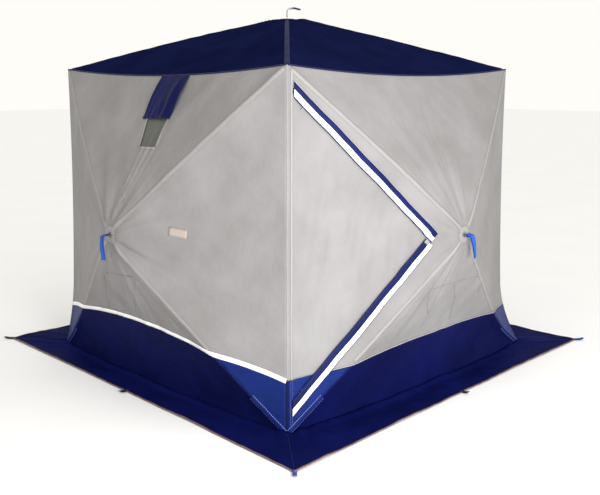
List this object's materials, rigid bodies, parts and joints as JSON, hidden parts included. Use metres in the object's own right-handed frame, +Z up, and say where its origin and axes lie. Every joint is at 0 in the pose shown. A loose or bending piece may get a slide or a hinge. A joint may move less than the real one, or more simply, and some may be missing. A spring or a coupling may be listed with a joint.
{
  "type": "ice fishing shelter",
  "caption": "Cube-shaped pop-up ice fishing shelter: hub-and-rod frame in every face, grey walls, navy roof, blue snow skirt, zipped triangular door and a flap vent.",
  "frame": {"origin": "on the ground under the middle of the shelter, at the bottom centre of its bounding box", "axes": "+Z up; the door wall faces -Y and the vent wall faces -X"},
  "size_m": [2.807, 2.807, 2.1915],
  "materials": {
    "wall_fabric": "light grey coated polyester cloth",
    "roof_fabric": "navy coated polyester cloth",
    "kick_fabric": "dark blue coated polyester cloth",
    "skirt_fabric": "dark blue coated polyester cloth",
    "door_fabric": "light grey coated polyester cloth",
    "flap_fabric": "mid blue coated cloth with a white reflective tape",
    "zip_tape": "dark woven tape with coil teeth",
    "slider_metal": "black painted zinc",
    "strap_webbing": "royal blue nylon webbing",
    "roof_webbing": "grey-green webbing with blue edges",
    "rod_fibreglass": "dark solid glass-fibre rod",
    "joint_plastic": "black moulded nylon",
    "window_film": "smoky flexible film"
  },
  "bodies": {
    "shelter": {"top_corner_front_left": "joint_plastic", "top_corner_front_right": "joint_plastic", "top_corner_back_right": "joint_plastic", "top_corner_back_left": "joint_plastic", "bottom_corner_front_left": "joint_plastic", "bottom_corner_front_right": "joint_plastic", "bottom_corner_back_right": "joint_plastic", "bottom_corner_back_left": "joint_plastic", "snow_skirt": "skirt_fabric", "roof_fabric": "roof_fabric", "front_wall_fabric": "wall_fabric", "front_kick_band": "kick_fabric", "right_wall_fabric": "wall_fabric", "right_kick_band": "kick_fabric", "back_wall_fabric": "wall_fabric", "back_kick_band": "kick_fabric", "left_wall_fabric": "wall_fabric", "left_kick_band": "kick_fabric"},
    "front_hub": {"front_hub": "joint_plastic"},
    "front_rod_top_left": {"front_rod_top_left": "rod_fibreglass"},
    "front_rod_top_right": {"front_rod_top_right": "rod_fibreglass"},
    "front_rod_low_left": {"front_rod_low_left": "rod_fibreglass"},
    "front_rod_low_right": {"front_rod_low_right": "rod_fibreglass"},
    "front_pull_strap": {"front_pull_strap": "strap_webbing"},
    "right_hub": {"right_hub": "joint_plastic"},
    "right_rod_top_left": {"right_rod_top_left": "rod_fibreglass"},
    "right_rod_top_right": {"right_rod_top_right": "rod_fibreglass"},
    "right_rod_low_left": {"right_rod_low_left": "rod_fibreglass"},
    "right_rod_low_right": {"right_rod_low_right": "rod_fibreglass"},
    "right_pull_strap": {"right_pull_strap": "strap_webbing"},
    "back_hub": {"back_hub": "joint_plastic"},
    "back_rod_top_left": {"back_rod_top_left": "rod_fibreglass"},
    "back_rod_top_right": {"back_rod_top_right": "rod_fibreglass"},
    "back_rod_low_left": {"back_rod_low_left": "rod_fibreglass"},
    "back_rod_low_right": {"back_rod_low_right": "rod_fibreglass"},
    "back_pull_strap": {"back_pull_strap": "strap_webbing"},
    "left_hub": {"left_hub": "joint_plastic"},
    "left_rod_top_left": {"left_rod_top_left": "rod_fibreglass"},
    "left_rod_top_right": {"left_rod_top_right": "rod_fibreglass"},
    "left_rod_low_left": {"left_rod_low_left": "rod_fibreglass"},
    "left_rod_low_right": {"left_rod_low_right": "rod_fibreglass"},
    "left_pull_strap": {"left_pull_strap": "strap_webbing"},
    "roof_hub": {"roof_hub": "joint_plastic"},
    "roof_rod_front_left": {"roof_rod_front_left": "rod_fibreglass"},
    "roof_rod_front_right": {"roof_rod_front_right": "rod_fibreglass"},
    "roof_rod_back_right": {"roof_rod_back_right": "rod_fibreglass"},
    "roof_rod_back_left": {"roof_rod_back_left": "rod_fibreglass"},
    "roof_pull_strap": {"roof_pull_strap": "roof_webbing"},
    "door_surround": {"upper_zip": "zip_tape", "lower_zip": "zip_tape", "upper_storm_flap": "flap_fabric", "lower_storm_flap": "flap_fabric"},
    "door_panel": {"door_panel": "door_fabric"},
    "upper_zip_slider": {"upper_zip_slider": "slider_metal"},
    "lower_zip_slider": {"lower_zip_slider": "slider_metal"},
    "vent_surround": {"vent_window": "window_film"},
    "vent_flap": {"vent_flap": "flap_fabric"}
  },
  "joints": [
    {"name": "front_hub_pop", "type": "slide", "parent": "shelter", "child": "front_hub", "axis": [0, -1, 0], "range_m": [-0.712, 0], "deforming": ["front_wall_fabric", "front_kick_band"]},
    {"name": "front_rod_top_left_tilt", "type": "hinge", "parent": "shelter", "child": "front_rod_top_left", "pos_m": [-0.9108, -0.955, 1.71972], "axis": [-0.669, 0, -0.7433], "range_deg": [-34.48, 0]},
    {"name": "front_rod_top_right_tilt", "type": "hinge", "parent": "shelter", "child": "front_rod_top_right", "pos_m": [0.9108, -0.955, 1.71972], "axis": [-0.669, 0, 0.7433], "range_deg": [-34.48, 0]},
    {"name": "front_rod_low_left_tilt", "type": "hinge", "parent": "shelter", "child": "front_rod_low_left", "pos_m": [-0.9108, -0.955, 0.08028], "axis": [0.669, 0, -0.7433], "range_deg": [-34.48, 0]},
    {"name": "front_rod_low_right_tilt", "type": "hinge", "parent": "shelter", "child": "front_rod_low_right", "pos_m": [0.9108, -0.955, 0.08028], "axis": [0.669, 0, 0.7433], "range_deg": [-34.48, 0]},
    {"name": "front_strap_swing", "type": "hinge", "parent": "front_hub", "child": "front_pull_strap", "pos_m": [0, -1.368, 0.9], "axis": [1, 0, 0], "range_deg": [-120, 0]},
    {"name": "right_hub_pop", "type": "slide", "parent": "shelter", "child": "right_hub", "axis": [1, 0, 0], "range_m": [-0.712, 0], "deforming": ["right_wall_fabric", "right_kick_band"]},
    {"name": "right_rod_top_left_tilt", "type": "hinge", "parent": "shelter", "child": "right_rod_top_left", "pos_m": [0.955, -0.9108, 1.71972], "axis": [0, -0.669, -0.7433], "range_deg": [-34.48, 0]},
    {"name": "right_rod_top_right_tilt", "type": "hinge", "parent": "shelter", "child": "right_rod_top_right", "pos_m": [0.955, 0.9108, 1.71972], "axis": [0, -0.669, 0.7433], "range_deg": [-34.48, 0]},
    {"name": "right_rod_low_left_tilt", "type": "hinge", "parent": "shelter", "child": "right_rod_low_left", "pos_m": [0.955, -0.9108, 0.08028], "axis": [0, 0.669, -0.7433], "range_deg": [-34.48, 0]},
    {"name": "right_rod_low_right_tilt", "type": "hinge", "parent": "shelter", "child": "right_rod_low_right", "pos_m": [0.955, 0.9108, 0.08028], "axis": [0, 0.669, 0.7433], "range_deg": [-34.48, 0]},
    {"name": "right_strap_swing", "type": "hinge", "parent": "right_hub", "child": "right_pull_strap", "pos_m": [1.368, 0, 0.9], "axis": [0, 1, 0], "range_deg": [-120, 0]},
    {"name": "back_hub_pop", "type": "slide", "parent": "shelter", "child": "back_hub", "axis": [0, 1, 0], "range_m": [-0.712, 0], "deforming": ["back_wall_fabric", "back_kick_band"]},
    {"name": "back_rod_top_left_tilt", "type": "hinge", "parent": "shelter", "child": "back_rod_top_left", "pos_m": [0.9108, 0.955, 1.71972], "axis": [0.669, 0, -0.7433], "range_deg": [-34.48, 0]},
    {"name": "back_rod_top_right_tilt", "type": "hinge", "parent": "shelter", "child": "back_rod_top_right", "pos_m": [-0.9108, 0.955, 1.71972], "axis": [0.669, 0, 0.7433], "range_deg": [-34.48, 0]},
    {"name": "back_rod_low_left_tilt", "type": "hinge", "parent": "shelter", "child": "back_rod_low_left", "pos_m": [0.9108, 0.955, 0.08028], "axis": [-0.669, 0, -0.7433], "range_deg": [-34.48, 0]},
    {"name": "back_rod_low_right_tilt", "type": "hinge", "parent": "shelter", "child": "back_rod_low_right", "pos_m": [-0.9108, 0.955, 0.08028], "axis": [-0.669, 0, 0.7433], "range_deg": [-34.48, 0]},
    {"name": "back_strap_swing", "type": "hinge", "parent": "back_hub", "child": "back_pull_strap", "pos_m": [0, 1.368, 0.9], "axis": [-1, 0, 0], "range_deg": [-120, 0]},
    {"name": "left_hub_pop", "type": "slide", "parent": "shelter", "child": "left_hub", "axis": [-1, 0, 0], "range_m": [-0.712, 0], "deforming": ["left_wall_fabric", "left_kick_band"]},
    {"name": "left_rod_top_left_tilt", "type": "hinge", "parent": "shelter", "child": "left_rod_top_left", "pos_m": [-0.955, 0.9108, 1.71972], "axis": [0, 0.669, -0.7433], "range_deg": [-34.48, 0]},
    {"name": "left_rod_top_right_tilt", "type": "hinge", "parent": "shelter", "child": "left_rod_top_right", "pos_m": [-0.955, -0.9108, 1.71972], "axis": [0, 0.669, 0.7433], "range_deg": [-34.48, 0]},
    {"name": "left_rod_low_left_tilt", "type": "hinge", "parent": "shelter", "child": "left_rod_low_left", "pos_m": [-0.955, 0.9108, 0.08028], "axis": [0, -0.669, -0.7433], "range_deg": [-34.48, 0]},
    {"name": "left_rod_low_right_tilt", "type": "hinge", "parent": "shelter", "child": "left_rod_low_right", "pos_m": [-0.955, -0.9108, 0.08028], "axis": [0, -0.669, 0.7433], "range_deg": [-34.48, 0]},
    {"name": "left_strap_swing", "type": "hinge", "parent": "left_hub", "child": "left_pull_strap", "pos_m": [-1.368, 0, 0.9], "axis": [0, -1, 0], "range_deg": [-120, 0]},
    {"name": "roof_hub_pop", "type": "slide", "parent": "shelter", "child": "roof_hub", "axis": [0, 0, 1], "range_m": [-0.66, 0], "deforming": ["roof_fabric"]},
    {"name": "roof_rod_front_left_tilt", "type": "hinge", "parent": "shelter", "child": "roof_rod_front_left", "pos_m": [-0.91515, -0.91515, 1.755], "axis": [0.7071, -0.7071, 0], "range_deg": [-30.36, 0]},
    {"name": "roof_rod_front_right_tilt", "type": "hinge", "parent": "shelter", "child": "roof_rod_front_right", "pos_m": [0.91515, -0.91515, 1.755], "axis": [0.7071, 0.7071, 0], "range_deg": [-30.36, 0]},
    {"name": "roof_rod_back_right_tilt", "type": "hinge", "parent": "shelter", "child": "roof_rod_back_right", "pos_m": [0.91515, 0.91515, 1.755], "axis": [-0.7071, 0.7071, 0], "range_deg": [-30.36, 0]},
    {"name": "roof_rod_back_left_tilt", "type": "hinge", "parent": "shelter", "child": "roof_rod_back_left", "pos_m": [-0.91515, 0.91515, 1.755], "axis": [-0.7071, -0.7071, 0], "range_deg": [-30.36, 0]},
    {"name": "roof_strap_swing", "type": "hinge", "parent": "roof_hub", "child": "roof_pull_strap", "pos_m": [0, 0, 2.142], "axis": [0.7071, 0.7071, 0], "range_deg": [-60, 0]},
    {"name": "door_surround_tilt", "type": "hinge", "parent": "shelter", "child": "door_surround", "pos_m": [-0.9975, -1, 0.9], "axis": [0, 0, -1], "range_deg": [-41.59, 0]},
    {"name": "door_swing", "type": "hinge", "parent": "door_surround", "child": "door_panel", "pos_m": [-0.97615, -1.00681, 0.9], "axis": [0, 0, 1], "range_deg": [0, 110]},
    {"name": "upper_zip_slide", "type": "slide", "parent": "door_surround", "child": "upper_zip_slider", "axis": [0.6842, -0.2525, -0.6842], "range_m": [0, 0.974]},
    {"name": "lower_zip_slide", "type": "slide", "parent": "door_surround", "child": "lower_zip_slider", "axis": [0.6842, -0.2525, 0.6842], "range_m": [0, 0.974]},
    {"name": "vent_surround_tilt", "type": "hinge", "parent": "shelter", "child": "vent_surround", "pos_m": [-1, 0, 1.7975], "axis": [0, 1, 0], "range_deg": [-46.06, 0]},
    {"name": "vent_flap_lift", "type": "hinge", "parent": "vent_surround", "child": "vent_flap", "pos_m": [-1.02126, -0.1, 1.75651], "axis": [0, 1, 0], "range_deg": [0, 140]}
  ],
  "couplings": [
    {"joint": "front_rod_top_left_tilt", "follows": "front_hub_pop", "rad_per_m": 0.84511},
    {"joint": "front_rod_top_right_tilt", "follows": "front_hub_pop", "rad_per_m": 0.84511},
    {"joint": "front_rod_low_left_tilt", "follows": "front_hub_pop", "rad_per_m": 0.84511},
    {"joint": "front_rod_low_right_tilt", "follows": "front_hub_pop", "rad_per_m": 0.84511},
    {"joint": "right_rod_top_left_tilt", "follows": "right_hub_pop", "rad_per_m": 0.84511},
    {"joint": "right_rod_top_right_tilt", "follows": "right_hub_pop", "rad_per_m": 0.84511},
    {"joint": "right_rod_low_left_tilt", "follows": "right_hub_pop", "rad_per_m": 0.84511},
    {"joint": "right_rod_low_right_tilt", "follows": "right_hub_pop", "rad_per_m": 0.84511},
    {"joint": "back_rod_top_left_tilt", "follows": "back_hub_pop", "rad_per_m": 0.84511},
    {"joint": "back_rod_top_right_tilt", "follows": "back_hub_pop", "rad_per_m": 0.84511},
    {"joint": "back_rod_low_left_tilt", "follows": "back_hub_pop", "rad_per_m": 0.84511},
    {"joint": "back_rod_low_right_tilt", "follows": "back_hub_pop", "rad_per_m": 0.84511},
    {"joint": "left_rod_top_left_tilt", "follows": "left_hub_pop", "rad_per_m": 0.84511},
    {"joint": "left_rod_top_right_tilt", "follows": "left_hub_pop", "rad_per_m": 0.84511},
    {"joint": "left_rod_low_left_tilt", "follows": "left_hub_pop", "rad_per_m": 0.84511},
    {"joint": "left_rod_low_right_tilt", "follows": "left_hub_pop", "rad_per_m": 0.84511},
    {"joint": "roof_rod_front_left_tilt", "follows": "roof_hub_pop", "rad_per_m": 0.80289},
    {"joint": "roof_rod_front_right_tilt", "follows": "roof_hub_pop", "rad_per_m": 0.80289},
    {"joint": "roof_rod_back_right_tilt", "follows": "roof_hub_pop", "rad_per_m": 0.80289},
    {"joint": "roof_rod_back_left_tilt", "follows": "roof_hub_pop", "rad_per_m": 0.80289},
    {"joint": "door_surround_tilt", "follows": "front_hub_pop", "rad_per_m": 1.0193},
    {"joint": "vent_surround_tilt", "follows": "left_hub_pop", "rad_per_m": 1.1289}
  ]
}
